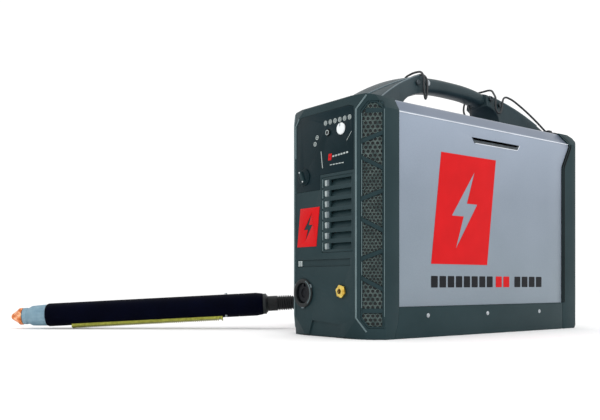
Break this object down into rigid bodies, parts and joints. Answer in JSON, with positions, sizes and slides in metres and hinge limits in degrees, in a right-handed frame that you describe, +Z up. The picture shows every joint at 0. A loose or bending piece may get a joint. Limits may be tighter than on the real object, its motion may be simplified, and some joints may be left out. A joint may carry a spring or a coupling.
{
  "type": "plasma cutter unit",
  "caption": "Portable plasma cutter: a silver folded cover between dark moulded bezels under an arched carrying handle, with a straight machine torch on its coiled lead.",
  "frame": {"origin": "centre of the unit's underside, on the surface that it stands on", "axes": "+Z up, -Y out of the control panel, +X to the right of someone who faces the panel; the torch lies towards -X"},
  "size_m": [0.5242, 0.7234, 0.3687],
  "materials": {
    "bezel_plastic": "fine moulded texture",
    "cover_paint": "satin silver",
    "vent_mesh": "satin",
    "black_plastic": "satin",
    "panel_overlay": "satin",
    "light_pipe": "clear",
    "white_knob": "satin",
    "grey_button": "satin",
    "socket_insert": "matt",
    "brass_stud": "machined",
    "rack_brass": "machined",
    "rocker_red": "gloss",
    "zinc_steel": "zinc plated",
    "coated_wire": "satin",
    "aluminium": "extruded",
    "circuit_board": "satin",
    "capacitor_sleeve": "satin",
    "ferrite": "matt",
    "copper_winding": "enamelled copper",
    "lead_rubber": "matt",
    "torch_copper": "bare copper",
    "torch_cap": "satin",
    "torch_sleeve": "satin"
  },
  "bodies": {
    "root": {"base_tray": "bezel_plastic", "front_bezel": "bezel_plastic", "rear_bezel": "bezel_plastic", "handle_front_leg": "bezel_plastic", "handle_grip": "bezel_plastic", "handle_rear_leg": "bezel_plastic", "wrap_cover": "cover_paint", "vent_strip_right": "vent_mesh", "vent_strip_left": "vent_mesh", "louvre_panel": "black_plastic", "work_lead_socket": "black_plastic", "rear_grille": "black_plastic", "rocker_frame": "black_plastic", "mains_gland": "black_plastic", "port_cover": "black_plastic", "fan_frame": "black_plastic", "rectifier_module": "black_plastic", "tie_anchor": "black_plastic", "lead_gland": "black_plastic", "torch_coupler": "black_plastic", "control_overlay": "panel_overlay", "status_light_pipe": "light_pipe", "work_lead_insert": "socket_insert", "ground_stud": "brass_stud", "air_inlet_fitting": "brass_stud", "solenoid_valve": "brass_stud", "gear_rack": "rack_brass", "handle_bolt_1": "zinc_steel", "handle_bolt_2": "zinc_steel", "handle_bolt_3": "zinc_steel", "handle_bolt_4": "zinc_steel", "centre_chassis": "zinc_steel", "front_tie": "coated_wire", "rear_tie": "coated_wire", "heatsink": "aluminium", "air_filter_regulator": "aluminium", "power_board": "circuit_board", "control_board": "circuit_board", "dc_capacitor_1": "capacitor_sleeve", "dc_capacitor_2": "capacitor_sleeve", "transformer_core": "ferrite", "transformer_winding": "copper_winding", "output_choke": "copper_winding", "air_hose": "lead_rubber", "torch_boot": "lead_rubber", "lead_strain_relief": "lead_rubber", "lead_coil": "lead_rubber", "lead_to_coil": "lead_rubber", "lead_to_torch": "lead_rubber", "torch_sleeve": "torch_sleeve"},
    "adjust_knob": {"adjust_knob": "white_knob"},
    "mode_knob": {"mode_knob": "black_plastic"},
    "gas_test_button": {"gas_test_button": "grey_button"},
    "power_rocker": {"power_rocker": "rocker_red"},
    "fan_rotor": {"fan_rotor": "black_plastic"},
    "torch_cartridge": {"torch_nozzle": "torch_copper", "retaining_cap": "torch_cap"}
  },
  "joints": [
    {"name": "adjust_knob_turn", "type": "hinge", "parent": "root", "child": "adjust_knob", "pos_m": [0.0345, -0.2255, 0.262], "axis": [0, -1, 0], "continuous": true},
    {"name": "mode_knob_turn", "type": "hinge", "parent": "root", "child": "mode_knob", "pos_m": [-0.04, -0.2255, 0.209], "axis": [0, -1, 0], "range_deg": [-60, 60]},
    {"name": "gas_test_press", "type": "slide", "parent": "root", "child": "gas_test_button", "axis": [0, 1, 0], "range_m": [0, 0.0012], "stiffness_N_per_m": 400},
    {"name": "power_rocker_tilt", "type": "hinge", "parent": "root", "child": "power_rocker", "pos_m": [0.05, 0.221, 0.262], "axis": [1, 0, 0], "range_deg": [-16, 0]},
    {"name": "fan_spin", "type": "hinge", "parent": "root", "child": "fan_rotor", "pos_m": [0, 0.2012, 0.165], "axis": [0, 1, 0], "continuous": true},
    {"name": "cartridge_twist", "type": "hinge", "parent": "root", "child": "torch_cartridge", "pos_m": [-0.435, -0.478, 0.0178], "axis": [0.6162, 0.7859, 0.0516], "range_deg": [0, 90]}
  ]
}
